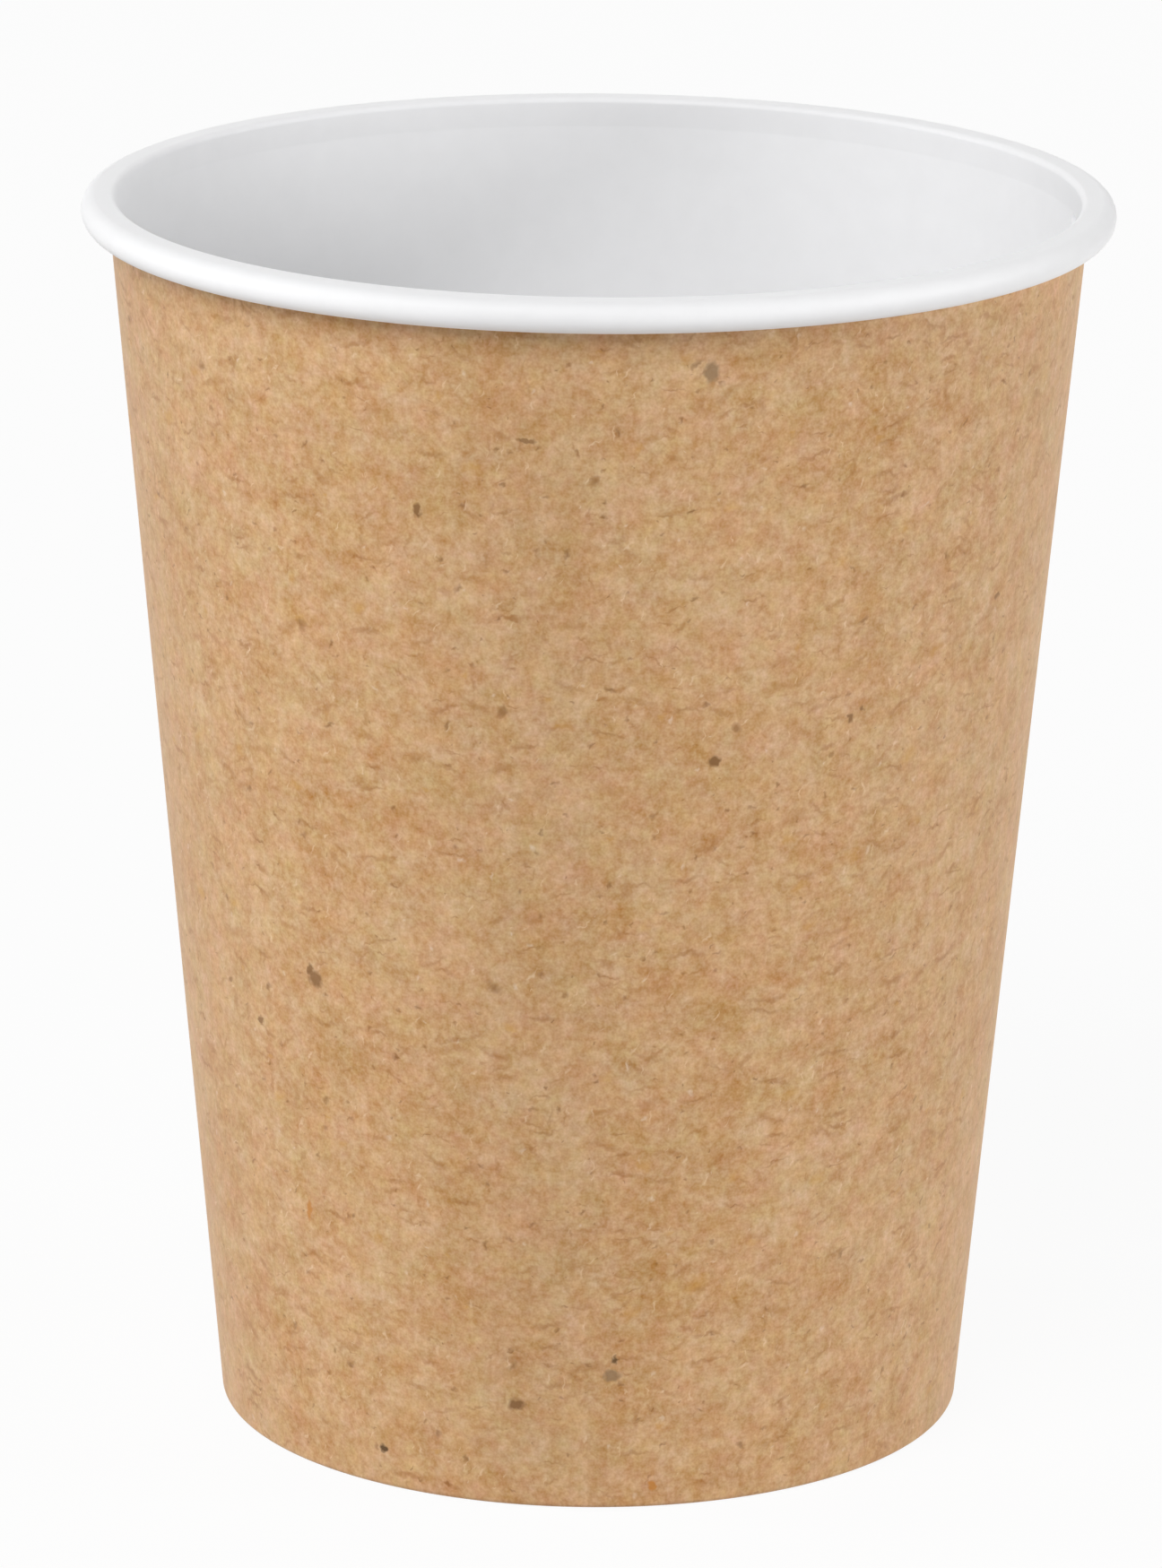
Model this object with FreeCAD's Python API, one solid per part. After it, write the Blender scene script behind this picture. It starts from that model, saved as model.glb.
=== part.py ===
import FreeCAD, Part

import math
import os

# A single-wall paper coffee cup, made of the two pieces of board that a real one is made of.
# side_wall is one fan-shaped sheet, brown outside and white inside. It is wrapped into a cone and lapped
# at a side seam, its top edge is rolled outwards into the rim, and its bottom edge is turned in and up as a hem.
# bottom_disc is one round of white board with its edge turned down as a skirt, held between wall and hem.
# The origin is on the cup's axis at the table, and +Z points up out of the mouth.

# Driving dimensions, in millimetres and degrees

# The cup as a whole
HEIGHT = 97.45           # table to the top of the rolled rim
RIM_DIAMETER = 80.0      # across the outside of the rolled rim, the size that a lid fits
BASE_DIAMETER = 58.7     # across the outside of the wall at the table

# The board
WALL_BOARD = 0.46        # side wall sheet
FLOOR_BOARD = 0.40       # floor sheet
CREASE_RADIUS = 0.06     # inside of a hard crease in the side wall sheet
SEAL_LINE = 0.03         # melted coating between two sheets that are sealed together

# The rolled rim
RIM_HEIGHT = 2.5         # top to underside
RIM_OVERHANG = 2.1       # how far it stands out from the wall
RIM_LIP = 0.24           # how far its inner edge stands in from the wall's inner face
RIM_EDGE_TURN = 14.0     # soft edge between the flat top and the round outside
RIM_EDGE_RADIUS = 0.25   # radius of that soft edge, in the middle of the board
NECK_RADIUS = 2.0        # where the wall leans in to the rim, in the middle of the board
TUCK_RADIUS = 0.74       # outside of the tucked end of the roll
TUCK_TURN = 100.0        # how far the tucked end turns, where the wall leaves it room
TUCK_GAP = 0.1           # between the tucked end and the wall

# The hem and the floor
HEM_HEIGHT = 6.0         # table to the hem's upper edge
HEM_TO_BEND = 0.5        # hem's upper edge to where the floor's skirt starts to bend
FLOOR_BEND = 0.5         # inside of the bend between floor and skirt
SKIRT_CLEARANCE = 0.3    # skirt's lower edge to the fold of the hem

# The side seam, just behind the cup's right-hand side
SEAM_DIRECTION = 18.0    # where the outer end's cut edge lies, from +X towards +Y
LAP_ANGLE = 10.0         # how far the outer end lies on the inner one, back towards +X
JOG_ANGLE = 3.0          # over which it then comes down to the wall
LAP_STEP = 0.3           # how much thicker the pressed lap is than one sheet
JOG_END_STEP = 0.003     # what is left of that step where the jog ends

AXIS = FreeCAD.Vector(0, 0, 1)
CENTRE = FreeCAD.Vector(0, 0, 0)

# Sizes worked out from the driving dimensions

rim_radius = RIM_DIAMETER / 2
half_board = WALL_BOARD / 2
rim_middle_z = HEIGHT - RIM_HEIGHT / 2
rim_underside_z = HEIGHT - RIM_HEIGHT
wall_top_radius = rim_radius - RIM_OVERHANG
wall_rise_per_mm = (wall_top_radius - BASE_DIAMETER / 2) / rim_middle_z
lean = math.degrees(math.atan(wall_rise_per_mm))
lean_cos = math.cos(math.radians(lean))
lean_sin = math.sin(math.radians(lean))
up_the_wall = 90 - lean
down_the_wall = -90 - lean
crease = CREASE_RADIUS + half_board
lap_end_direction = SEAM_DIRECTION - LAP_ANGLE
jog_end_direction = lap_end_direction - JOG_ANGLE


def wall_radius(z, depth):
    """Radius of the wall at height z, on a surface that lies `depth` in from its outer face."""
    return BASE_DIAMETER / 2 + wall_rise_per_mm * z - depth / lean_cos


# A path is (start radius, start height, heading) and a list of moves, seen in the radius-height plane.
# A move is ("run", length) or ("bend", radius, turn), and a positive turn is to the left.


def moved(r, z, heading, move):
    """Where one move leads: the new radius, height and heading."""
    direction = math.radians(heading)
    if move[0] == "run":
        return r + move[1] * math.cos(direction), z + move[1] * math.sin(direction), heading
    _, radius, turn = move
    side = math.copysign(1, turn)
    centre_r = r - side * radius * math.sin(direction)
    centre_z = z + side * radius * math.cos(direction)
    direction += math.radians(turn)
    end_r = centre_r + side * radius * math.sin(direction)
    end_z = centre_z - side * radius * math.cos(direction)
    return end_r, end_z, heading + turn


def shifted(r, z, heading, offset):
    """The point `offset` to the left of a path's point."""
    direction = math.radians(heading)
    return FreeCAD.Vector(r - offset * math.sin(direction), 0, z + offset * math.cos(direction))


def traced(start, moves, offset):
    """Edges of the line that runs `offset` to the left of a path."""
    edges = []
    r, z, heading = start
    for move in moves:
        begin = shifted(r, z, heading, offset)
        if move[0] == "bend":
            half = moved(r, z, heading, ("bend", move[1], move[2] / 2))
            r, z, heading = moved(r, z, heading, move)
            edges.append(Part.Arc(begin, shifted(*half, offset), shifted(r, z, heading, offset)).toShape())
        else:
            r, z, heading = moved(r, z, heading, move)
            edges.append(Part.makeLine(begin, shifted(r, z, heading, offset)))
    return edges


def band(start, moves, left, right):
    """Face between two lines beside a path, at `left` and `right` offsets to its left."""
    near = traced(start, moves, left)
    far = traced(start, moves, right)
    first_cap = Part.makeLine(far[0].Vertexes[0].Point, near[0].Vertexes[0].Point)
    last_cap = Part.makeLine(near[-1].Vertexes[-1].Point, far[-1].Vertexes[-1].Point)
    return Part.Face(Part.Wire(near + [last_cap] + far[::-1] + [first_cap]))


def turned(shape, degrees):
    """A copy of a shape, turned about the cup's axis."""
    copy = shape.copy()
    copy.rotate(CENTRE, AXIS, degrees)
    return copy


def hem_and_wall():
    """Path along the middle of the side wall sheet: hem, fold at the table, and wall up to the rim's underside."""
    hem_depth = half_board + WALL_BOARD + FLOOR_BOARD + 2 * SEAL_LINE
    start = (wall_radius(HEM_HEIGHT, hem_depth), HEM_HEIGHT, down_the_wall)

    bend_start_z = half_board + crease * (1 + lean_sin)
    bend_end_z = half_board + crease * (1 - lean_sin)
    flat_start_r = wall_radius(bend_start_z, hem_depth) + crease * lean_cos
    flat_end_r = wall_radius(bend_end_z, half_board) - crease * lean_cos

    moves = [
        ("run", (HEM_HEIGHT - bend_start_z) / lean_cos),
        ("bend", crease, 90 + lean),
        ("run", flat_end_r - flat_start_r),
        ("bend", crease, 90 - lean),
        ("run", (rim_underside_z - bend_end_z) / lean_cos),
    ]
    return start, moves


def rolled_rim():
    """The path's moves above the wall: in to the lip, over the flat top, round the outside and under."""
    lip_radius = wall_radius(HEIGHT, WALL_BOARD) - RIM_LIP
    neck_r = wall_radius(rim_underside_z, half_board) - NECK_RADIUS * lean_cos
    neck_z = rim_underside_z + NECK_RADIUS * lean_sin
    across_r = lip_radius + half_board + crease - neck_r
    across_z = HEIGHT - half_board - crease - neck_z
    reach = math.hypot(across_r, across_z)
    both_radii = NECK_RADIUS + crease
    neck_heading = math.degrees(math.atan2(across_z, across_r) + math.asin(both_radii / reach))

    edge_sin = math.sin(math.radians(RIM_EDGE_TURN))
    edge_cos = math.cos(math.radians(RIM_EDGE_TURN))
    edge_drop = RIM_EDGE_RADIUS * (1 - edge_cos)
    roll_radius = (RIM_HEIGHT - WALL_BOARD - edge_drop) / (1 + edge_cos)
    roll_centre_r = rim_radius - half_board - roll_radius
    flat_end_r = roll_centre_r + (roll_radius - RIM_EDGE_RADIUS) * edge_sin
    flat_start_r = lip_radius + half_board + crease

    room = (roll_centre_r - TUCK_GAP - wall_top_radius) / TUCK_RADIUS
    tuck_turn = TUCK_TURN if room >= 1 else math.degrees(math.asin(room))

    return [
        ("bend", NECK_RADIUS, neck_heading - up_the_wall),
        ("run", math.sqrt(reach ** 2 - both_radii ** 2)),
        ("bend", crease, -neck_heading),
        ("run", flat_end_r - flat_start_r),
        ("bend", RIM_EDGE_RADIUS, -RIM_EDGE_TURN),
        ("bend", roll_radius, RIM_EDGE_TURN - 180),
        ("bend", TUCK_RADIUS - half_board, -tuck_turn),
    ]


def floor_path():
    """Path along the middle of the floor sheet: out from the axis, over the bend and down the skirt."""
    floor_z = floor_underside_z() + FLOOR_BOARD / 2
    bend = FLOOR_BEND + FLOOR_BOARD / 2
    skirt_depth = WALL_BOARD + SEAL_LINE + FLOOR_BOARD / 2
    skirt_start_z = floor_z - bend * (1 + lean_sin)
    bend_start_r = wall_radius(skirt_start_z, skirt_depth) - bend * lean_cos
    skirt_end_z = WALL_BOARD + SKIRT_CLEARANCE
    moves = [
        ("run", bend_start_r),
        ("bend", bend, down_the_wall),
        ("run", (skirt_start_z - skirt_end_z) / lean_cos),
    ]
    return (0, floor_z, 0), moves


def floor_underside_z():
    """Height of the floor's underside, just above the hem and the bend of its own skirt."""
    return HEM_HEIGHT + HEM_TO_BEND + FLOOR_BEND * (1 + lean_sin)


def lap():
    """The outer end of the sheet, pressed on to the wall along the seam, with its jog back down to the wall."""
    start, moves = hem_and_wall()
    buried = -half_board / 2
    cut_edge = band(start, moves, buried, -half_board - LAP_STEP)
    thin_end = band(start, moves, buried, -half_board - JOG_END_STEP)
    pad = turned(cut_edge.revolve(CENTRE, AXIS, LAP_ANGLE), lap_end_direction)
    jog_start = turned(cut_edge.OuterWire, lap_end_direction)
    jog_end = turned(thin_end.OuterWire, jog_end_direction)
    jog = Part.makeLoft([jog_end, jog_start], True, True)
    above_table = Part.makeBox(RIM_DIAMETER, RIM_DIAMETER, HEIGHT, FreeCAD.Vector(-rim_radius, -rim_radius, 0))
    return pad.fuse(jog).common(above_table)


def inner_step():
    """The notch beside the inner end of the sheet, where the outer end jogs over it, from floor to rim."""
    low_z = floor_underside_z() + FLOOR_BOARD + CREASE_RADIUS
    start = (wall_radius(low_z, half_board), low_z, up_the_wall)
    moves = [("run", (rim_underside_z - low_z) / lean_cos)]
    clear_of_board = half_board + LAP_STEP
    deep = band(start, moves, clear_of_board, half_board - LAP_STEP)
    shallow = band(start, moves, clear_of_board, half_board - JOG_END_STEP)
    deep_end = turned(deep.OuterWire, lap_end_direction)
    shallow_end = turned(shallow.OuterWire, jog_end_direction)
    return Part.makeLoft([shallow_end, deep_end], True, True)


def side_wall():
    """The wrapped sheet: hem, wall and rolled rim as one piece, with its lapped side seam."""
    start, moves = hem_and_wall()
    sheet = band(start, moves + rolled_rim(), half_board, -half_board)
    wrapped = sheet.revolve(CENTRE, AXIS, 360)
    return wrapped.fuse(lap()).cut(inner_step()).removeSplitter()


def bottom_disc():
    """The floor with its skirt."""
    start, moves = floor_path()
    return band(start, moves, FLOOR_BOARD / 2, -FLOOR_BOARD / 2).revolve(CENTRE, AXIS, 360)


os.makedirs("parts", exist_ok=True)
for name, shape in (("side_wall", side_wall()), ("bottom_disc", bottom_disc())):
    shape.exportStep(f"parts/{name}.step")
    print(name, "valid", shape.isValid(), "solids", len(shape.Solids), "volume", round(shape.Volume, 1))
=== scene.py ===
import math

import bpy
from mathutils import Matrix, Vector


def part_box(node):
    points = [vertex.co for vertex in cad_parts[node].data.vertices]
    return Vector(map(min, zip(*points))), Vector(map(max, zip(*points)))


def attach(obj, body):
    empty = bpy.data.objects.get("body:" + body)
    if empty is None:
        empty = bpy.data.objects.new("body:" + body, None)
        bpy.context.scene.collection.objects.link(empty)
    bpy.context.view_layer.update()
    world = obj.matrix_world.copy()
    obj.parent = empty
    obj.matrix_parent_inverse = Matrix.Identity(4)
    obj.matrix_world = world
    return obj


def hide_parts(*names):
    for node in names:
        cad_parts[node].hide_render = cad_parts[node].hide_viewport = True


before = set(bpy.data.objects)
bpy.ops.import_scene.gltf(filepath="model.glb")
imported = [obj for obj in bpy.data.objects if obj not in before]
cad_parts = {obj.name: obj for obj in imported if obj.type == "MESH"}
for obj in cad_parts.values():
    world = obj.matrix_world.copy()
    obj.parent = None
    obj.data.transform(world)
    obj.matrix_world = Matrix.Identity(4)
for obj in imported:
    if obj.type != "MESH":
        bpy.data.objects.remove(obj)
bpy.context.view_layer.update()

# A paper coffee cup. Two pieces of board are turned round the cup's axis from their cut sections:
# the side wall, with its hem, rolled rim and lapped side seam, and the floor with its skirt.

MM = 0.001

# Sizes of the cup, in metres and degrees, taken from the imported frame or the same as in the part's source

wall_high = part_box("side_wall")[1]
HEIGHT = wall_high.z
RIM_RADIUS = wall_high.x
BASE_RADIUS = 29.35 * MM

# Boards
WALL_BOARD = 0.46 * MM
FLOOR_BOARD = 0.40 * MM
CREASE_RADIUS = 0.06 * MM  # inside a sharp fold
SEAL_LINE = 0.03 * MM      # between wall, floor skirt and hem

# Rolled rim
RIM_HEIGHT = 2.5 * MM
RIM_OVERHANG = 2.1 * MM    # how far it stands out from the wall
RIM_LIP = 0.24 * MM        # how far its inner edge stands in from the wall's inner face
RIM_EDGE_TURN = 14.0
RIM_EDGE_RADIUS = 0.25 * MM
NECK_RADIUS = 2.0 * MM     # where the wall bends in to the lip
TUCK_RADIUS = 0.74 * MM    # where the roll's end bends up beside the wall
TUCK_GAP = 0.1 * MM

# Hem and floor
HEM_HEIGHT = 6.0 * MM
HEM_TO_BEND = 0.5 * MM
FLOOR_BEND = 0.5 * MM
SKIRT_CLEARANCE = 0.3 * MM

# Side seam
SEAM_DIRECTION = 18.0
LAP_ANGLE = 10.0
JOG_ANGLE = 3.0            # the slope that leads up to the lap
LAP_STEP = 0.3 * MM

# How finely the boards are divided
BEND_STEP = 9.0            # degrees of a bend to one face
RUN_STEP = 6.0 * MM        # length of a straight run to one face
PLAIN_COLUMNS = 348        # faces round the plain wall
JOG_COLUMNS = 6
LAP_COLUMNS = 10
CUT_ANGLE = 0.02           # width of a cut edge, seen from the axis
MERGE_DISTANCE = 0.0005 * MM
SHARP_ANGLE = 40.0         # a sharper edge than this is shaded as an edge
HALF = 0.5                 # of a step, so that whole numbers divide and compare safely

# What a section's edges turn into: one of the board's faces, a cut edge, or nothing on the axis itself
COATED_FACE, PLAIN_FACE, CUT_FACE, NO_FACE = 0, 1, 2, 3

# Spans of a section, as distances along its path
BEFORE_START = -1.0
NO_SPAN = (BEFORE_START, BEFORE_START)

# Kraft paper. Sizes are in millimetres, and colours in everyday values, 0 to 255.
KRAFT_DEEPEST = (166, 109, 28)
KRAFT_PALEST = (226, 193, 154)
KRAFT_NOISE = (            # size, detail, roughness, spread of that noise, change of tone as a share
    (13.0, 1.0, 1.0, 0.113, 0.028),
    (3.0, 1.0, 1.0, 0.113, 0.053),
    (0.75, 2.0, 0.9, 0.093, 0.075),
)
KRAFT_PINK = (1.035, 0.935, 0.96, 1.0)
KRAFT_OLIVE = (0.965, 1.065, 1.04, 1.0)
KRAFT_OCHRE = (1.0, 1.0, 0.85, 1.0)
KRAFT_GREY = (1.0, 1.0, 1.15, 1.0)
KRAFT_HUES = (             # size of the patches, roughness, shift, and the tints that they run between
    (5.0, 0.9, (41, 17, 0), KRAFT_OLIVE, KRAFT_PINK),
    (2.6, 0.8, (-29, 53, 0), KRAFT_OCHRE, KRAFT_GREY),
)
KRAFT_HUE_DETAIL = 3.0
KRAFT_HUE_RANGE = (0.2, 0.8)
KRAFT_FRAY = (0.5, 0.5)    # size of the noise that frays the fibres, and how far it moves them
KRAFT_CURL = (2.4, 1.4)    # the same for their curl
KRAFT_FIBRES = (           # turn, spacing, stretch, radius, share of places, colour, strength
    (3, 1.00, 6, 0.250, 0.16, (142, 82, 2), 0.42),
    (-22, 1.15, 5, 0.260, 0.22, (146, 86, 4), 0.34),
    (28, 1.15, 5, 0.250, 0.20, (148, 88, 4), 0.34),
    (84, 1.20, 4, 0.240, 0.14, (148, 90, 8), 0.32),
    (8, 1.80, 4, 0.420, 0.24, (156, 96, 12), 0.30),
    (80, 0.90, 5, 0.100, 0.20, (236, 208, 174), 0.42),
    (50, 1.00, 5, 0.100, 0.20, (236, 210, 178), 0.42),
    (0, 1.60, 1.4, 0.18, 0.34, (118, 66, 0), 0.46),
    (40, 2.60, 1.6, 0.22, 0.28, (112, 66, 4), 0.54),
    (70, 2.60, 1.3, 0.18, 0.26, (230, 212, 192), 0.36),
    (20, 4.00, 1.5, 0.55, 0.26, (196, 144, 54), 0.38),
    (30, 11.0, 1.2, 0.50, 0.14, (128, 84, 34), 0.60),
)
SPOT_LEAST = 0.3           # a spot's radius is this share of its row's, and up to one more
SPOT_FLAT = 0.8            # how close to its middle a spot reaches its full strength
SPECK_CORE = 0.55          # where a speck starts to fade, as a share of its half size
SPECK_END = 1.05           # and where it ends
SPECK_DARK = (84, 58, 26)
SPECK_BROWN = (128, 89, 49)
SPECK_GREY = (140, 113, 82)
SPECK_OCHRE = (190, 125, 49)
KRAFT_SPECKS = (           # turn from the front, height, half width, half height, colour, strength
    (12.9, 91.6, 0.65, 1.00, SPECK_GREY, 0.80),
    (15.0, 61.1, 0.55, 0.50, SPECK_BROWN, 0.95),
    (-10.6, 8.5, 0.75, 0.60, SPECK_BROWN, 0.90),
    (3.8, 12.5, 0.38, 0.36, SPECK_DARK, 0.85),
    (3.4, 11.2, 0.75, 0.60, SPECK_GREY, 0.80),
    (-32.3, 3.2, 0.45, 0.40, SPECK_DARK, 0.95),
    (-39.7, 41.3, 0.85, 0.80, SPECK_BROWN, 0.85),
    (-40.6, 42.0, 0.40, 0.55, SPECK_BROWN, 0.85),
    (33.3, 63.4, 0.35, 0.48, SPECK_BROWN, 0.85),
    (35.0, 64.0, 0.26, 0.34, SPECK_BROWN, 0.75),
    (-21.3, 80.3, 0.34, 0.62, SPECK_BROWN, 0.90),
    (-8.0, 86.3, 0.80, 0.24, SPECK_BROWN, 0.75),
    (-43.8, 21.8, 0.34, 1.10, SPECK_OCHRE, 0.75),
    (9.7, 1.8, 0.36, 0.50, SPECK_OCHRE, 0.80),
    (-51.4, 36.4, 0.42, 0.40, SPECK_BROWN, 0.80),
    (59.2, 70.1, 0.40, 0.34, SPECK_BROWN, 0.70),
)

# White board and cut edges
COATED_PALE = (242, 242, 243)
COATED_DEEP = (240, 240, 241)
PLAIN_PALE = (238, 236, 230)
PLAIN_DEEP = (224, 220, 211)
CUT_PALE = (226, 205, 176)
CUT_DEEP = (176, 142, 104)
BOARD_RANGE = (0.3, 0.7)   # values of the noise at which the colour is deepest and palest
PLAIN_RANGE = (0.35, 0.65)
COATED_FINE_SHARE = 0.12   # of the coating's bump

# The table and the light, in metres and degrees
TABLE_RADIUS = 4.0
TABLE_CORNERS = 120
TABLE_LEVEL = -0.01 * MM   # just under the cup's foot
TABLE_COLOUR = (0.75, 0.75, 0.75, 1.0)
TABLE_GLOW = 0.94          # share of plain white in what the camera sees of the table
AMBIENT = 0.045
SOFT_BOXES = (             # name, turn, rise, distance, width, height, strength
    ("key_box", -31, 42, 2.0, 1.2, 1.2, 7.15),
    ("front_box", 0, 12, 2.0, 1.2, 1.2, 0.3),
    ("left_strip", -96, 17, 2.0, 0.4, 1.4, 6.8),
    ("right_strip", 82, 9, 2.0, 0.5, 0.68, 21.5),
    ("back_box", 180, 30, 2.0, 1.2, 1.2, 1.6),
)

# Camera, fitted to the photograph: metres, degrees and pixels, and millimetres for the sensor
IMAGE_HEIGHT = 1749
FOCAL_PIXELS = 9481
SENSOR_SIZE = 36.0
CAMERA_DISTANCE = 670.2 * MM
CAMERA_AIM = 50.15 * MM    # height of the point on the axis that it looks at
CAMERA_RISE = 15.77
CAMERA_YAW = -0.086
CAMERA_PITCH = -0.029
CAMERA_ROLL = 0.508
CAMERA_NEAR = 0.02
CAMERA_FAR = 20.0

# Sizes worked out from those above
half_board = WALL_BOARD / 2
rim_underside_z = HEIGHT - RIM_HEIGHT
wall_top_radius = RIM_RADIUS - RIM_OVERHANG
wall_rise = (wall_top_radius - BASE_RADIUS) / (HEIGHT - RIM_HEIGHT / 2)
lean = math.degrees(math.atan(wall_rise))
lean_cos = math.cos(math.radians(lean))
lean_sin = math.sin(math.radians(lean))
crease = CREASE_RADIUS + half_board
floor_underside_z = HEM_HEIGHT + HEM_TO_BEND + FLOOR_BEND * (1 + lean_sin)
floor_top_z = floor_underside_z + FLOOR_BOARD


def wall_radius(z, depth):
    """Radius of the wall at height z, on a surface that lies `depth` in from its outer face."""
    return BASE_RADIUS + wall_rise * z - depth / lean_cos


# Sections. A path is a start (radius, height, heading) and its moves.
# A move is ("run", length) or ("bend", radius, turn).


def path_points(start, moves):
    """Points along a path as (radius, height, heading, distance), with a point at the end of each move."""
    r, z, heading = start
    points = [(r, z, heading, 0.0)]
    distance = 0.0
    for kind, size, *turn in moves:
        if kind == "run":
            steps = max(1, round(size / RUN_STEP))
            direction = math.radians(heading)
            for _ in range(steps):
                r += size / steps * math.cos(direction)
                z += size / steps * math.sin(direction)
                distance += size / steps
                points.append((r, z, heading, distance))
        else:
            steps = max(2, math.ceil(abs(turn[0]) / BEND_STEP))
            side = math.copysign(1, turn[0])
            centre_r = r - side * size * math.sin(math.radians(heading))
            centre_z = z + side * size * math.cos(math.radians(heading))
            for _ in range(steps):
                heading += turn[0] / steps
                r = centre_r + side * size * math.sin(math.radians(heading))
                z = centre_z - side * size * math.cos(math.radians(heading))
                distance += size * math.radians(abs(turn[0])) / steps
                points.append((r, z, heading, distance))
    return points


def hem_and_wall():
    """Path in the middle of the side wall's board, from the hem's edge to the rim's underside."""
    hem_depth = half_board + WALL_BOARD + FLOOR_BOARD + 2 * SEAL_LINE
    start = (wall_radius(HEM_HEIGHT, hem_depth), HEM_HEIGHT, -90 - lean)
    bend_start_z = half_board + crease * (1 + lean_sin)
    bend_end_z = half_board + crease * (1 - lean_sin)
    flat_start_r = wall_radius(bend_start_z, hem_depth) + crease * lean_cos
    flat_end_r = wall_radius(bend_end_z, half_board) - crease * lean_cos
    moves = [
        ("run", (HEM_HEIGHT - bend_start_z) / lean_cos),
        ("bend", crease, 90 + lean),
        ("run", flat_end_r - flat_start_r),
        ("bend", crease, 90 - lean),
        ("run", (floor_top_z + CREASE_RADIUS - bend_end_z) / lean_cos),
        ("run", (rim_underside_z - floor_top_z - CREASE_RADIUS) / lean_cos),
    ]
    return start, moves


def rolled_rim():
    """Moves from the wall's top in to the lip, over the flat of the rim, round its outside and under."""
    lip_radius = wall_radius(HEIGHT, WALL_BOARD) - RIM_LIP
    neck_r = wall_radius(rim_underside_z, half_board) - NECK_RADIUS * lean_cos
    neck_z = rim_underside_z + NECK_RADIUS * lean_sin
    across_r = lip_radius + half_board + crease - neck_r
    across_z = HEIGHT - half_board - crease - neck_z
    reach = math.hypot(across_r, across_z)
    both_radii = NECK_RADIUS + crease
    neck_heading = math.degrees(math.atan2(across_z, across_r) + math.asin(both_radii / reach))

    edge_sin = math.sin(math.radians(RIM_EDGE_TURN))
    edge_cos = math.cos(math.radians(RIM_EDGE_TURN))
    roll_radius = (RIM_HEIGHT - WALL_BOARD - RIM_EDGE_RADIUS * (1 - edge_cos)) / (1 + edge_cos)
    roll_centre_r = RIM_RADIUS - half_board - roll_radius
    flat_end_r = roll_centre_r + (roll_radius - RIM_EDGE_RADIUS) * edge_sin
    tuck_turn = math.degrees(math.asin((roll_centre_r - TUCK_GAP - wall_top_radius) / TUCK_RADIUS))
    return [
        ("bend", NECK_RADIUS, neck_heading - (90 - lean)),
        ("run", math.sqrt(reach ** 2 - both_radii ** 2)),
        ("bend", crease, -neck_heading),
        ("run", flat_end_r - (lip_radius + half_board + crease)),
        ("bend", RIM_EDGE_RADIUS, -RIM_EDGE_TURN),
        ("bend", roll_radius, RIM_EDGE_TURN - 180),
        ("bend", TUCK_RADIUS - half_board, -tuck_turn),
    ]


def floor_and_skirt():
    """Path in the middle of the floor's board, from the axis out and down the skirt."""
    middle_z = floor_underside_z + FLOOR_BOARD / 2
    bend = FLOOR_BEND + FLOOR_BOARD / 2
    skirt_top_z = middle_z - bend * (1 + lean_sin)
    skirt_depth = WALL_BOARD + SEAL_LINE + FLOOR_BOARD / 2
    skirt_end_z = WALL_BOARD + SKIRT_CLEARANCE
    moves = [
        ("run", wall_radius(skirt_top_z, skirt_depth) - bend * lean_cos),
        ("bend", bend, -90 - lean),
        ("run", (skirt_top_z - skirt_end_z) / lean_cos),
    ]
    return (0.0, middle_z, 0.0), moves


def path_length(moves):
    """How long a path's moves are together."""
    return sum(move[1] if move[0] == "run" else move[1] * math.radians(abs(move[2])) for move in moves)


def shares_at(distance, span, backwards):
    """Whether a point of a path lies in a span of it: 0 or 1, or both where the span starts or ends."""
    low, high = span
    if abs(distance - low) < MERGE_DISTANCE:
        shares = (0.0, 1.0)
    elif abs(distance - high) < MERGE_DISTANCE:
        shares = (1.0, 0.0)
    else:
        shares = (1.0,) if low < distance < high else (0.0,)
    return shares[::-1] if backwards else shares


def section_mesh(points, board, start_face, sheet_start, lap_span, notch_span):
    """A board's cut section, as a loop of vertices in the XZ plane with the values that the tree reads.

    The board's coated face lies to the left of the path. The seam thickens the plain face, on the right,
    along lap_span, and sets the coated one in along notch_span, where the coating covers the edge."""
    corners = []
    sides = (
        (points, -board / 2, COATED_FACE, COATED_FACE, notch_span, CUT_FACE, False),
        (points[::-1], board / 2, PLAIN_FACE, CUT_FACE, lap_span, start_face, True),
    )
    for ordered, offset, side_face, step_face, span, cap_face, backwards in sides:
        for r, z, heading, distance in ordered:
            turn = math.radians(heading)
            to_right = (math.sin(turn), 0.0, -math.cos(turn))
            place = (r + offset * to_right[0], 0.0, z + offset * to_right[2])
            shares = shares_at(distance, span, backwards)
            for count, share in enumerate(shares, 1):
                face = side_face if count == len(shares) else step_face
                lap, notch = (share, 0.0) if backwards else (0.0, share)
                corners.append([place, to_right, face, lap, notch, distance - sheet_start])
        corners[-1][2] = cap_face

    mesh = bpy.data.meshes.new("section")
    loop = [(k, (k + 1) % len(corners)) for k in range(len(corners))]
    mesh.from_pydata([corner[0] for corner in corners], loop, [])
    values = (
        ("to_right", "FLOAT_VECTOR", "vector"),
        ("surface", "INT", "value"),
        ("lap_share", "FLOAT", "value"),
        ("notch_share", "FLOAT", "value"),
        ("along", "FLOAT", "value"),
    )
    for column, (name, kind, field) in enumerate(values, 1):
        attribute = mesh.attributes.new(name, kind, "POINT")
        for corner, point in zip(corners, attribute.data):
            setattr(point, field, corner[column])
    return mesh


# Node helpers, for materials and geometry alike


def node(tree, kind, **settings):
    """A new node with these settings."""
    made = tree.nodes.new(kind)
    for name, value in settings.items():
        setattr(made, name, value)
    return made


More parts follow.
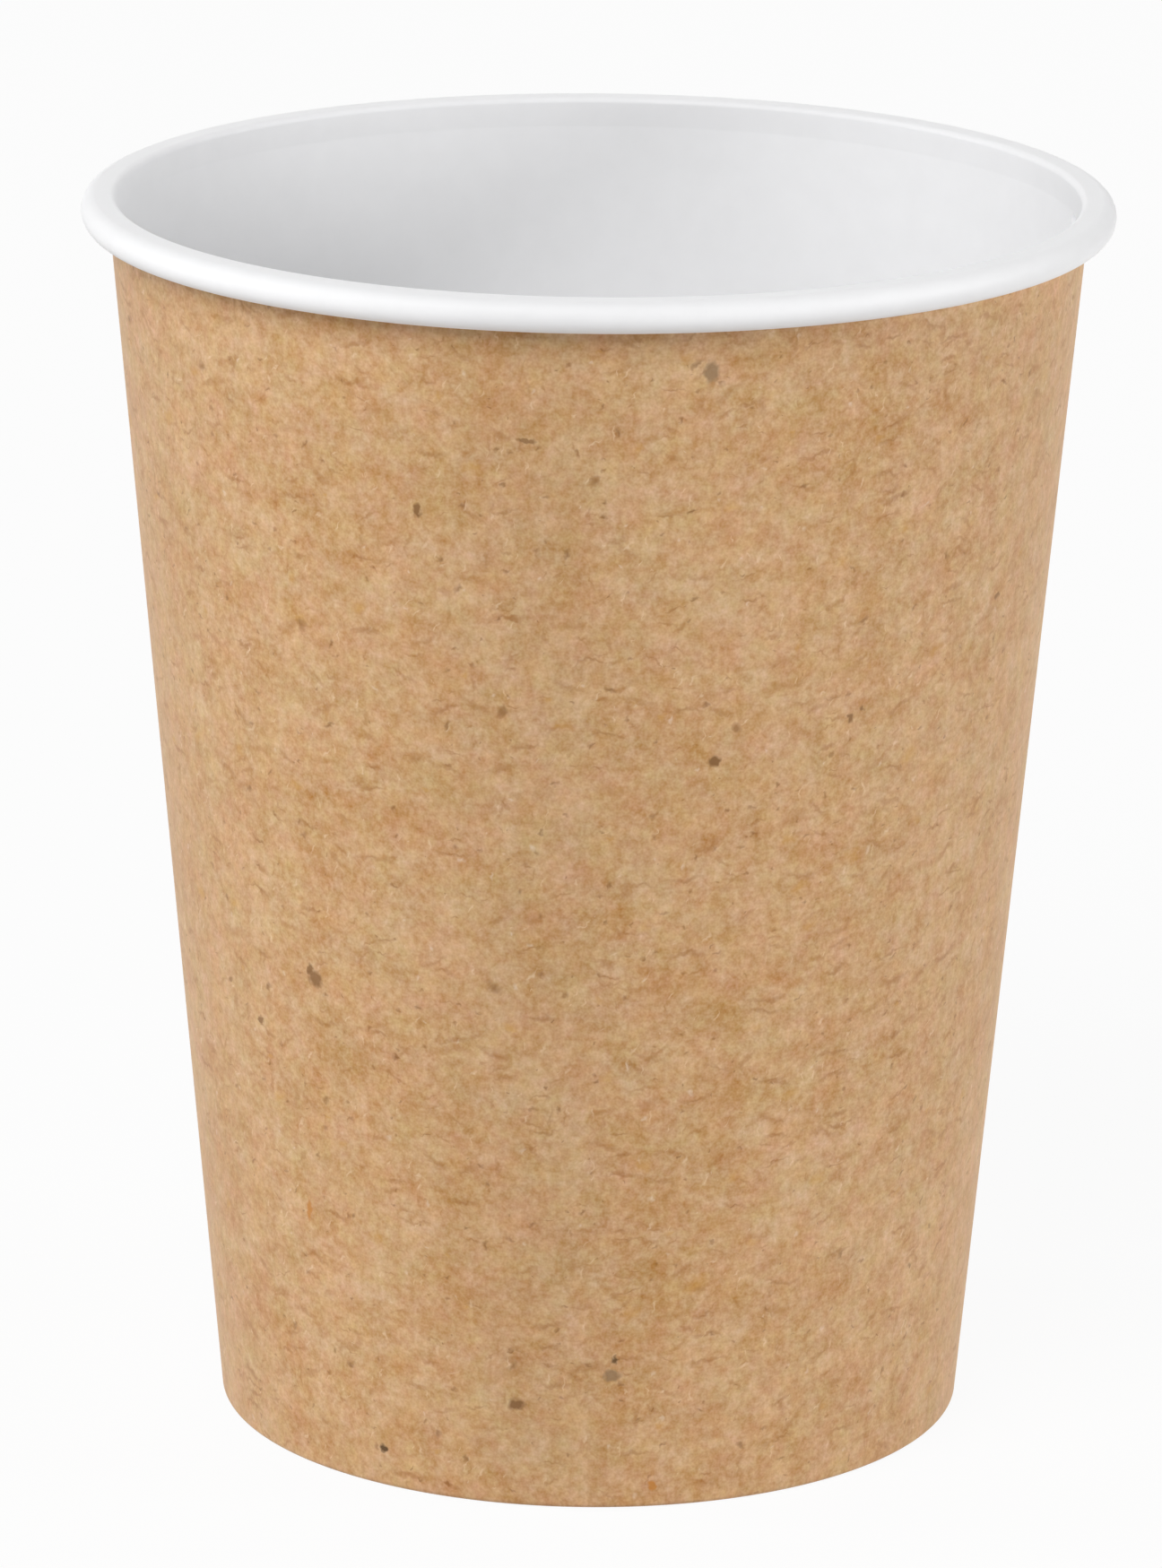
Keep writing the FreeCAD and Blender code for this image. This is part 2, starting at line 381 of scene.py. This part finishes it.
def feed(tree, source, socket):
    """Links a socket to an input, or sets the input to a plain value."""
    if isinstance(source, bpy.types.NodeSocket):
        tree.links.new(source, socket)
    else:
        socket.default_value = source


def maths(tree, operation, *terms):
    """A Math node's result."""
    made = node(tree, "ShaderNodeMath", operation=operation)
    for term, socket in zip(terms, made.inputs):
        feed(tree, term, socket)
    return made.outputs[0]


def added(tree, *terms):
    """The sum of several values."""
    total = terms[0]
    for term in terms[1:]:
        total = maths(tree, "ADD", total, term)
    return total


def ramp(tree, value, start, end, reach):
    """A value that goes evenly from 0 at `start` to `reach` at `end`, and stays level outside."""
    made = node(tree, "ShaderNodeMapRange")
    for socket, source in zip(made.inputs, (value, start, end, 0.0, reach)):
        feed(tree, source, socket)
    return made.outputs[0]


# Geometry Nodes: a section turned round the axis


def turned_board_tree():
    """The tree that turns a section round the axis, with the side seam's lap and jog in its columns."""
    tree = bpy.data.node_groups.new("turned_board", "GeometryNodeTree")
    tree.is_modifier = True
    inputs = (
        ("Section", "NodeSocketGeometry"),
        ("Plain columns", "NodeSocketInt"),
        ("Jog columns", "NodeSocketInt"),
        ("Lap columns", "NodeSocketInt"),
        ("Seam direction", "NodeSocketFloat"),
        ("Lap angle", "NodeSocketFloat"),
        ("Jog angle", "NodeSocketFloat"),
        ("Cut angle", "NodeSocketFloat"),
        ("Lap step", "NodeSocketFloat"),
        ("Sheet radius", "NodeSocketFloat"),
        ("Sheet share", "NodeSocketFloat"),
        ("Merge distance", "NodeSocketFloat"),
        ("Coated face", "NodeSocketMaterial"),
        ("Plain face", "NodeSocketMaterial"),
        ("Cut face", "NodeSocketMaterial"),
    )
    for name, kind in inputs:
        tree.interface.new_socket(name=name, in_out="INPUT", socket_type=kind)
    tree.interface.new_socket(name="Board", in_out="OUTPUT", socket_type="NodeSocketGeometry")
    given = node(tree, "NodeGroupInput").outputs
    section = given["Section"]

    def number(operation, *terms):
        return maths(tree, operation, *terms)

    def from_section(kind, attribute, index):
        """An attribute of the section's loop at an index."""
        if attribute == "position":
            value = node(tree, "GeometryNodeInputPosition").outputs[0]
        else:
            value = node(tree, "GeometryNodeInputNamedAttribute", data_type=kind)
            value.inputs["Name"].default_value = attribute
            value = value.outputs["Attribute"]
        sample = node(tree, "GeometryNodeSampleIndex", data_type=kind, domain="POINT")
        tree.links.new(section, sample.inputs["Geometry"])
        tree.links.new(value, sample.inputs["Value"])
        tree.links.new(index, sample.inputs["Index"])
        return sample.outputs["Value"]

    # Columns, in the order plain wall, jog, inner cut edge, lap, outer cut edge
    jog_start = given["Plain columns"]
    jog_end = number("ADD", jog_start, given["Jog columns"])
    lap_start = number("ADD", jog_end, 1)
    lap_end = number("ADD", lap_start, given["Lap columns"])
    columns = number("ADD", lap_end, 1)

    size = node(tree, "GeometryNodeAttributeDomainSize", component="MESH")
    tree.links.new(section, size.inputs["Geometry"])
    corners = size.outputs["Point Count"]
    grid = node(tree, "GeometryNodeMeshGrid")
    feed(tree, 1.0, grid.inputs["Size X"])
    feed(tree, 1.0, grid.inputs["Size Y"])
    tree.links.new(number("ADD", corners, 1), grid.inputs["Vertices X"])
    tree.links.new(number("ADD", columns, 1), grid.inputs["Vertices Y"])

    # Where each vertex lies: its corner of the section, and its column
    index = node(tree, "GeometryNodeInputIndex").outputs[0]
    row_length = number("ADD", columns, 1)
    row = number("FLOOR", number("DIVIDE", number("ADD", index, HALF), row_length))
    corner = number("FLOORED_MODULO", row, corners)
    column = number("FLOORED_MODULO", index, row_length)

    one_turn = 2 * math.pi
    covered = added(tree, given["Jog angle"], given["Lap angle"], number("MULTIPLY", given["Cut angle"], 2))
    direction = added(
        tree,
        number("SUBTRACT", added(tree, given["Seam direction"], given["Cut angle"]), one_turn),
        ramp(tree, column, 0, jog_start, number("SUBTRACT", one_turn, covered)),
        ramp(tree, column, jog_start, jog_end, given["Jog angle"]),
        ramp(tree, column, jog_end, lap_start, given["Cut angle"]),
        ramp(tree, column, lap_start, lap_end, given["Lap angle"]),
        ramp(tree, column, lap_end, columns, given["Cut angle"]),
    )
    risen = ramp(tree, column, jog_start, jog_end, given["Lap step"])
    lap_height = number("SUBTRACT", risen, ramp(tree, column, lap_end, columns, given["Lap step"]))
    notch_depth = number("SUBTRACT", risen, ramp(tree, column, jog_end, lap_start, given["Lap step"]))
    push = number(
        "ADD",
        number("MULTIPLY", from_section("FLOAT", "lap_share", corner), lap_height),
        number("MULTIPLY", from_section("FLOAT", "notch_share", corner), notch_depth),
    )
    pushed = node(tree, "ShaderNodeVectorMath", operation="MULTIPLY_ADD")
    tree.links.new(from_section("FLOAT_VECTOR", "to_right", corner), pushed.inputs[0])
    tree.links.new(push, pushed.inputs[1])
    tree.links.new(from_section("FLOAT_VECTOR", "position", corner), pushed.inputs[2])
    flat = node(tree, "ShaderNodeSeparateXYZ")
    tree.links.new(pushed.outputs[0], flat.inputs[0])
    place = node(tree, "ShaderNodeCombineXYZ")
    tree.links.new(number("MULTIPLY", flat.outputs["X"], number("COSINE", direction)), place.inputs["X"])
    tree.links.new(number("MULTIPLY", flat.outputs["X"], number("SINE", direction)), place.inputs["Y"])
    tree.links.new(number("MAXIMUM", flat.outputs["Z"], 0.0), place.inputs["Z"])

    # The same vertex on the flat sheet that the board was cut from, in metres, as the UV map
    sheet_radius = number("ADD", given["Sheet radius"], from_section("FLOAT", "along", corner))
    sheet_angle = number("MULTIPLY", number("ADD", direction, math.pi / 2), given["Sheet share"])
    on_sheet = node(tree, "ShaderNodeCombineXYZ")
    tree.links.new(number("MULTIPLY", sheet_radius, number("SINE", sheet_angle)), on_sheet.inputs["X"])
    upward = number("MULTIPLY", sheet_radius, number("COSINE", sheet_angle))
    tree.links.new(number("SUBTRACT", upward, given["Sheet radius"]), on_sheet.inputs["Y"])
    at_points = node(tree, "GeometryNodeFieldOnDomain", data_type="FLOAT_VECTOR", domain="POINT")
    tree.links.new(on_sheet.outputs[0], at_points.inputs["Value"])
    mapped = node(tree, "GeometryNodeStoreNamedAttribute", data_type="FLOAT2", domain="CORNER")
    mapped.inputs["Name"].default_value = "sheet"
    tree.links.new(grid.outputs["Mesh"], mapped.inputs["Geometry"])
    tree.links.new(at_points.outputs["Value"], mapped.inputs["Value"])

    # Materials, chosen by the section's edge and by the column
    face_corner = number("FLOOR", number("DIVIDE", number("ADD", index, HALF), columns))
    face_column = number("FLOORED_MODULO", index, columns)
    surface = from_section("INT", "surface", face_corner)
    in_outer_cut = number("COMPARE", face_column, lap_end, HALF)
    outer_cut = number("MULTIPLY", from_section("FLOAT", "lap_share", face_corner), in_outer_cut)
    on_cut = number("MAXIMUM", outer_cut, number("COMPARE", surface, CUT_FACE, HALF))
    on_plain = number("COMPARE", surface, PLAIN_FACE, HALF)

    board = mapped.outputs["Geometry"]
    for name, selection in (("Coated face", None), ("Plain face", on_plain), ("Cut face", on_cut)):
        finish = node(tree, "GeometryNodeSetMaterial")
        tree.links.new(board, finish.inputs["Geometry"])
        tree.links.new(given[name], finish.inputs["Material"])
        if selection is not None:
            tree.links.new(selection, finish.inputs["Selection"])
        board = finish.outputs["Geometry"]

    moved = node(tree, "GeometryNodeSetPosition")
    tree.links.new(board, moved.inputs["Geometry"])
    tree.links.new(place.outputs[0], moved.inputs["Position"])
    kept = node(tree, "GeometryNodeDeleteGeometry", domain="FACE", mode="ALL")
    tree.links.new(moved.outputs["Geometry"], kept.inputs["Geometry"])
    tree.links.new(number("COMPARE", surface, NO_FACE, HALF), kept.inputs["Selection"])
    smooth = node(tree, "GeometryNodeSetShadeSmooth")
    tree.links.new(kept.outputs["Geometry"], smooth.inputs["Geometry"])
    closed = node(tree, "GeometryNodeMergeByDistance")
    tree.links.new(smooth.outputs["Geometry"], closed.inputs["Geometry"])
    tree.links.new(given["Merge distance"], closed.inputs["Distance"])
    real = node(tree, "GeometryNodeRealizeInstances")
    tree.links.new(closed.outputs["Geometry"], real.inputs["Geometry"])
    result = node(tree, "NodeGroupOutput")
    tree.links.new(real.outputs["Geometry"], result.inputs["Board"])
    return tree


def turned_board(name, tree, section, faces):
    """A piece of board: the section turned round the axis by the tree, as a plain closed mesh."""
    values = {
        "Plain columns": PLAIN_COLUMNS,
        "Jog columns": JOG_COLUMNS,
        "Lap columns": LAP_COLUMNS,
        "Seam direction": math.radians(SEAM_DIRECTION),
        "Lap angle": math.radians(LAP_ANGLE),
        "Jog angle": math.radians(JOG_ANGLE),
        "Cut angle": math.radians(CUT_ANGLE),
        "Lap step": LAP_STEP,
        "Sheet radius": BASE_RADIUS / lean_sin,
        "Sheet share": lean_sin,
        "Merge distance": MERGE_DISTANCE,
        **faces,
    }
    piece = bpy.data.objects.new(name, section)
    bpy.context.scene.collection.objects.link(piece)
    modifier = piece.modifiers.new("turned", "NODES")
    modifier.node_group = tree
    for item in tree.interface.items_tree:
        if item.name in values:
            modifier[item.identifier] = values[item.name]
    evaluated = piece.evaluated_get(bpy.context.evaluated_depsgraph_get())
    mesh = bpy.data.meshes.new_from_object(evaluated)
    piece.modifiers.remove(modifier)
    piece.data = mesh
    bpy.data.meshes.remove(section)
    mesh.name = name
    mesh.materials.pop(index=0)
    mesh.set_sharp_from_angle(angle=math.radians(SHARP_ANGLE))
    return piece


def wall_sheet(tree, faces):
    """The side wall's sheet, from the hem's edge to the tucked end of the rim."""
    start, wall_moves = hem_and_wall()
    to_fold = path_length(wall_moves[:3])
    to_floor = path_length(wall_moves[:-1])
    to_rim = path_length(wall_moves)
    section = section_mesh(
        path_points(start, wall_moves + rolled_rim()),
        WALL_BOARD,
        start_face=CUT_FACE,
        sheet_start=to_fold,
        lap_span=(BEFORE_START, to_rim),
        notch_span=(to_floor, to_rim),
    )
    return turned_board("wall_sheet", tree, section, faces)


def floor_board(tree, faces):
    """The floor and its skirt, which have no seam."""
    section = section_mesh(
        path_points(*floor_and_skirt()),
        FLOOR_BOARD,
        start_face=NO_FACE,
        sheet_start=0.0,
        lap_span=NO_SPAN,
        notch_span=NO_SPAN,
    )
    return turned_board("floor_board", tree, section, faces)


# Materials. Kraft paper follows the flat sheet, in millimetres. The rest read Object coordinates.


def colour(red, green, blue):
    """A colour from its everyday values, 0 to 255, for a shader."""
    linear = []
    for value in (red, green, blue):
        share = value / 255
        linear.append(share / 12.92 if share <= 0.04045 else ((share + 0.055) / 1.055) ** 2.4)
    return (*linear, 1.0)


def mixed(tree, share, start, end, blend="MIX"):
    """A colour between two others."""
    made = node(tree, "ShaderNodeMix", data_type="RGBA", blend_type=blend)
    feed(tree, share, made.inputs[0])
    feed(tree, start, made.inputs[6])
    feed(tree, end, made.inputs[7])
    return made.outputs[2]


def turned_place(tree, place, turn=0.0, size=(1.0, 1.0, 1.0), shift=(0.0, 0.0, 0.0)):
    """Coordinates moved, turned about Z, and measured in steps of a given size."""
    made = node(tree, "ShaderNodeMapping", vector_type="TEXTURE")
    feed(tree, place, made.inputs["Vector"])
    made.inputs["Location"].default_value = shift
    made.inputs["Rotation"].default_value = (0.0, 0.0, math.radians(turn))
    made.inputs["Scale"].default_value = size
    return made.outputs["Vector"]


def noise(tree, place, size, detail=1.0, roughness=0.5, dimensions="3D"):
    """Noise with blotches of about this size."""
    made = node(tree, "ShaderNodeTexNoise", noise_dimensions=dimensions)
    feed(tree, place, made.inputs["Vector"])
    made.inputs["Scale"].default_value = 1 / size
    made.inputs["Detail"].default_value = detail
    made.inputs["Roughness"].default_value = roughness
    return made.outputs


def noise_change(tree, place, size, detail, roughness, spread, reach):
    """Noise as a change of about `reach` either way."""
    made = noise(tree, place, size, detail, roughness, "2D")["Fac"]
    return maths(tree, "MULTIPLY_ADD", made, reach / spread, -0.5 * reach / spread)


def moved_by_noise(tree, place, size, reach):
    """Places pushed to and fro by noise, so that what lies on them curls or frays."""
    push = node(tree, "ShaderNodeVectorMath", operation="MULTIPLY_ADD")
    tree.links.new(noise(tree, place, size, 1.0, 0.5, "2D")["Color"], push.inputs[0])
    push.inputs[1].default_value = (reach, reach, 0.0)
    push.inputs[2].default_value = (-reach / 2, -reach / 2, 0.0)
    added_push = node(tree, "ShaderNodeVectorMath", operation="ADD")
    tree.links.new(place, added_push.inputs[0])
    tree.links.new(push.outputs[0], added_push.inputs[1])
    return added_push.outputs[0]


def spots(tree, place, spacing, radius, share):
    """Scattered soft spots: 1 in their middle, 0 outside. Only this share of the places holds one."""
    cells = node(tree, "ShaderNodeTexVoronoi", voronoi_dimensions="2D")
    feed(tree, place, cells.inputs["Vector"])
    cells.inputs["Scale"].default_value = 1 / spacing
    chance = node(tree, "ShaderNodeSeparateColor")
    tree.links.new(cells.outputs["Color"], chance.inputs[0])
    cell_radius = radius / spacing
    radius_here = maths(tree, "MULTIPLY_ADD", chance.outputs[1], cell_radius, SPOT_LEAST * cell_radius)
    closeness = maths(tree, "SUBTRACT", 1.0, maths(tree, "DIVIDE", cells.outputs["Distance"], radius_here))
    held = maths(tree, "LESS_THAN", chance.outputs[0], share)
    return maths(tree, "MULTIPLY", ramp(tree, closeness, 0.0, SPOT_FLAT, 1.0), held)


def material_tree(name):
    """A new material, with its node tree and its Principled shader."""
    material = bpy.data.materials.new(name)
    material.use_nodes = True
    return material, material.node_tree, material.node_tree.nodes["Principled BSDF"]


def object_place(tree):
    """Object coordinates in millimetres."""
    place = node(tree, "ShaderNodeTexCoord").outputs["Object"]
    return turned_place(tree, place, size=(MM, MM, MM))


def toned(tree, shader, value, value_range, deep, pale):
    """Gives a shader a colour that runs from deep to pale as a value crosses its range."""
    tone = ramp(tree, value, *value_range, 1.0)
    tree.links.new(mixed(tree, tone, colour(*deep), colour(*pale)), shader.inputs["Base Color"])


def roughened(tree, shader, value, least, change):
    """Gives a shader a roughness of `least` where a value is 0, and of `change` more where it is 1."""
    tree.links.new(maths(tree, "MULTIPLY_ADD", value, change, least), shader.inputs["Roughness"])


def bumped(tree, shader, height, depth):
    """Gives a shader a bump of this depth in millimetres, from a height of about 0 to 1."""
    made = node(tree, "ShaderNodeBump")
    made.inputs["Strength"].default_value = 1.0
    made.inputs["Distance"].default_value = depth * MM
    tree.links.new(height, made.inputs["Height"])
    tree.links.new(made.outputs[0], shader.inputs["Normal"])


def on_sheet(turn, height):
    """Where a point of the wall lies on the flat sheet, in millimetres.

    Its place on the wall is its turn from the front, in degrees, and its height, in millimetres."""
    sheet_radius = BASE_RADIUS / lean_sin
    reach = sheet_radius + height * MM / lean_cos
    angle = math.radians(turn) * lean_sin
    return reach * math.sin(angle) / MM, (reach * math.cos(angle) - sheet_radius) / MM


def kraft_paper():
    """Unbleached brown paper: cloudy and mottled, with matted fibres, pale flecks and dark specks."""
    material, tree, shader = material_tree("kraft_paper")
    sheet = node(tree, "ShaderNodeUVMap", uv_map="sheet").outputs[0]
    place = turned_place(tree, sheet, size=(MM, MM, MM))

    # Clouds, blotches, mottling and grain
    tone = added(tree, 0.5, *(noise_change(tree, place, *settings) for settings in KRAFT_NOISE))
    paper = mixed(tree, tone, colour(*KRAFT_DEEPEST), colour(*KRAFT_PALEST))

    # Hue: some patches pinker or more olive, some more ochre or greyer
    for size, roughness, shift, low_tint, high_tint in KRAFT_HUES:
        shifted = turned_place(tree, place, shift=shift)
        patches = noise(tree, shifted, size, KRAFT_HUE_DETAIL, roughness, "2D")["Fac"]
        tint = mixed(tree, ramp(tree, patches, *KRAFT_HUE_RANGE, 1.0), low_tint, high_tint)
        paper = mixed(tree, 1.0, paper, tint, "MULTIPLY")

    # Single fibres, dots and flecks
    frayed = moved_by_noise(tree, place, *KRAFT_FRAY)
    curled = moved_by_noise(tree, frayed, *KRAFT_CURL)
    for turn, spacing, stretch, radius, share, tint, strength in KRAFT_FIBRES:
        lain = turned_place(tree, curled, turn, (stretch, 1.0, 1.0), (turn, stretch, 0.0))
        held = maths(tree, "MULTIPLY", spots(tree, lain, spacing, radius, share), strength)
        paper = mixed(tree, held, paper, colour(*tint))

    # The specks that the photograph shows
    for turn, height, half_width, half_height, tint, strength in KRAFT_SPECKS:
        lain = turned_place(tree, frayed, 0, (half_width, half_height, 1.0), (*on_sheet(turn, height), 0.0))
        away = node(tree, "ShaderNodeVectorMath", operation="LENGTH")
        tree.links.new(lain, away.inputs[0])
        faded = ramp(tree, away.outputs["Value"], SPECK_CORE, SPECK_END, strength)
        paper = mixed(tree, maths(tree, "SUBTRACT", strength, faded), paper, colour(*tint))
    tree.links.new(paper, shader.inputs["Base Color"])

    roughened(tree, shader, tone, least=0.36, change=0.3)
    shader.inputs["Specular IOR Level"].default_value = 0.3
    shader.inputs["Sheen Weight"].default_value = 0.03
    shader.inputs["Sheen Roughness"].default_value = 0.5
    bumped(tree, shader, tone, depth=0.026)
    return material


def coated_board():
    """White board with a smooth satin coating, which follows the board's faint unevenness."""
    material, tree, shader = material_tree("coated_white_board")
    place = object_place(tree)
    uneven = noise(tree, place, size=2.6, detail=2.0, roughness=0.55)["Fac"]
    fine = noise(tree, place, size=0.45)["Fac"]
    toned(tree, shader, uneven, BOARD_RANGE, COATED_DEEP, COATED_PALE)
    roughened(tree, shader, uneven, least=0.44, change=0.16)
    shader.inputs["Specular IOR Level"].default_value = 0.2
    bumped(tree, shader, maths(tree, "MULTIPLY_ADD", fine, COATED_FINE_SHARE, uneven), depth=0.01)
    return material


def plain_board():
    """White board without a coating: the floor's underside."""
    material, tree, shader = material_tree("plain_white_board")
    place = object_place(tree)
    along_fibres = turned_place(tree, place, turn=20, size=(1.6, 0.5, 0.5))
    fibres = noise(tree, along_fibres, size=0.9, detail=3.0, roughness=0.6)["Fac"]
    clouds = noise(tree, place, size=5.0, detail=2.0)["Fac"]
    mean = maths(tree, "DIVIDE", maths(tree, "ADD", fibres, clouds), 2)
    toned(tree, shader, mean, PLAIN_RANGE, PLAIN_DEEP, PLAIN_PALE)
    roughened(tree, shader, fibres, least=0.68, change=0.2)
    shader.inputs["Specular IOR Level"].default_value = 0.3
    bumped(tree, shader, fibres, depth=0.03)
    return material


def cut_edge():
    """The board's cut edge: bare fibres, crushed by the knife."""
    material, tree, shader = material_tree("cut_board_edge")
    place = object_place(tree)
    fibres = noise(tree, place, size=0.14, detail=3.0, roughness=0.65)["Fac"]
    toned(tree, shader, fibres, BOARD_RANGE, CUT_DEEP, CUT_PALE)
    roughened(tree, shader, fibres, least=0.8, change=0.15)
    shader.inputs["Specular IOR Level"].default_value = 0.2
    bumped(tree, shader, fibres, depth=0.03)
    return material


# The cup's two pieces

board_tree = turned_board_tree()
coated = coated_board()
cut = cut_edge()

wall = wall_sheet(board_tree, {"Coated face": coated, "Plain face": kraft_paper(), "Cut face": cut})
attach(wall, "root")
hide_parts("side_wall")

floor_disc = floor_board(board_tree, {"Coated face": coated, "Plain face": plain_board(), "Cut face": cut})
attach(floor_disc, "root")
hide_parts("bottom_disc")


# The table top and the world. Both look white to the camera, and the table keeps the cup's shadow.


def seen_share(tree):
    """1 for the rays that see the background: straight from the camera, or by a mirror or through glass."""
    path = node(tree, "ShaderNodeLightPath").outputs
    by_gloss = maths(tree, "MAXIMUM", path["Is Glossy Ray"], path["Is Transmission Ray"])
    return maths(tree, "MAXIMUM", path["Is Camera Ray"], by_gloss)


def table_top():
    """A round white table top, much wider than the picture."""
    corners = []
    for k in range(TABLE_CORNERS):
        turn = 2 * math.pi * k / TABLE_CORNERS
        corners.append((TABLE_RADIUS * math.cos(turn), TABLE_RADIUS * math.sin(turn), TABLE_LEVEL))
    mesh = bpy.data.meshes.new("table_top")
    mesh.from_pydata(corners, [], [range(TABLE_CORNERS)])
    table = bpy.data.objects.new("table_top", mesh)
    bpy.context.scene.collection.objects.link(table)

    material, tree, shader = material_tree("white_table")
    shader.inputs["Base Color"].default_value = TABLE_COLOUR
    shader.inputs["Roughness"].default_value = 0.9
    shader.inputs["Specular IOR Level"].default_value = 0.0
    glow = node(tree, "ShaderNodeEmission")
    blend = node(tree, "ShaderNodeMixShader")
    tree.links.new(maths(tree, "MULTIPLY", seen_share(tree), TABLE_GLOW), blend.inputs[0])
    tree.links.new(shader.outputs[0], blend.inputs[1])
    tree.links.new(glow.outputs[0], blend.inputs[2])
    tree.links.new(blend.outputs[0], tree.nodes["Material Output"].inputs["Surface"])
    mesh.materials.append(material)
    return table


def studio_world():
    """The world: white where it is seen, and a faint even light on the cup."""
    world = bpy.data.worlds.new("studio")
    world.use_nodes = True
    tree = world.node_tree
    background = tree.nodes["Background"]
    seen_light = ramp(tree, seen_share(tree), 0.0, 1.0, 1.0 - AMBIENT)
    tree.links.new(maths(tree, "ADD", seen_light, AMBIENT), background.inputs["Strength"])
    background.inputs["Color"].default_value = (1.0, 1.0, 1.0, 1.0)
    return world


table_top()
bpy.context.scene.world = studio_world()


# Soft studio light


def soft_box(name, turn, rise, distance, width, height, strength):
    """A soft box that looks at the cup's middle, from a turn to the right of the front and a rise."""
    lamp = bpy.data.lights.new(name, "AREA")
    lamp.shape = "RECTANGLE"
    lamp.size = width
    lamp.size_y = height
    lamp.energy = strength * math.pi * width * height
    box = bpy.data.objects.new(name, lamp)
    bpy.context.scene.collection.objects.link(box)
    box.visible_camera = False
    aim = Vector((0.0, 0.0, HEIGHT / 2))
    level = distance * math.cos(math.radians(rise))
    offset = Vector((
        level * math.sin(math.radians(turn)),
        -level * math.cos(math.radians(turn)),
        distance * math.sin(math.radians(rise)),
    ))
    box.location = aim + offset
    box.rotation_euler = (-offset).to_track_quat("-Z", "Y").to_euler()
    return box


for lamp_settings in SOFT_BOXES:
    soft_box(*lamp_settings)


# Camera: the photograph's own, fitted to the rim, the sides and the base


def photo_camera():
    """The camera at the photograph's viewing angle, distance and framing."""
    rise = math.radians(CAMERA_RISE)
    right = Vector((1.0, 0.0, 0.0))
    towards = Vector((0.0, math.cos(rise), -math.sin(rise)))
    up = right.cross(towards)
    yaw = math.radians(CAMERA_YAW)
    pitch = math.radians(CAMERA_PITCH)
    level_view = towards * math.cos(yaw) + right * math.sin(yaw)
    view = level_view * math.cos(pitch) + up * math.sin(pitch)
    side = view.cross(up).normalized()
    top = side.cross(view)
    roll = math.radians(CAMERA_ROLL)
    rolled_side = side * math.cos(roll) + top * math.sin(roll)
    rolled_top = top * math.cos(roll) - side * math.sin(roll)

    lens = bpy.data.cameras.new("photo_camera")
    lens.sensor_width = SENSOR_SIZE
    lens.lens = SENSOR_SIZE * FOCAL_PIXELS / IMAGE_HEIGHT
    lens.clip_start = CAMERA_NEAR
    lens.clip_end = CAMERA_FAR
    camera = bpy.data.objects.new("photo_camera", lens)
    bpy.context.scene.collection.objects.link(camera)
    place = Vector((0.0, 0.0, CAMERA_AIM)) - towards * CAMERA_DISTANCE
    axes = Matrix((rolled_side, rolled_top, -view)).transposed()
    camera.matrix_world = Matrix.Translation(place) @ axes.to_4x4()
    bpy.context.scene.camera = camera


photo_camera()

bpy.context.scene.view_settings.view_transform = "Standard"
